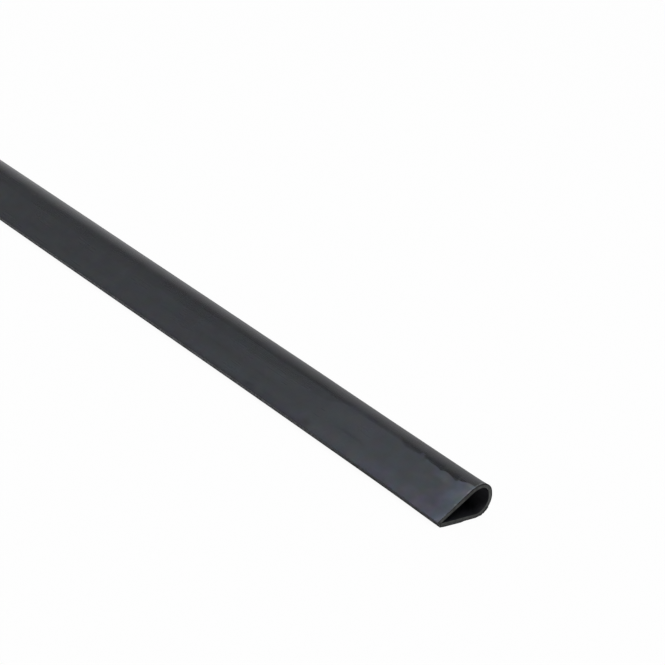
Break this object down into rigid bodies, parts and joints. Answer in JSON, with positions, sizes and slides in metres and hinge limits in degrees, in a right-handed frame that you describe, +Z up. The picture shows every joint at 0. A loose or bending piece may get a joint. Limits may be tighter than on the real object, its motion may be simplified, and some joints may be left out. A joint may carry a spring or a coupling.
{
  "type": "pvc clamping profile",
  "caption": "Teardrop-section PVC edge strip: a flat wall folded over a round back, so that its lips press together and grip the edge of a sheet or panel.",
  "frame": {"origin": "centre of the underside's plane, at the middle of the box", "axes": "+X along the strip, +Y from the lips to the round back, +Z up from the flat underside"},
  "size_m": [1, 0.015, 0.0085],
  "materials": {
    "black_pvc": "black PVC as extruded, satin, with faint die lines along its length and sawn ends"
  },
  "bodies": {
    "root": {"clamping_profile": "black_pvc"}
  },
  "joints": []
}
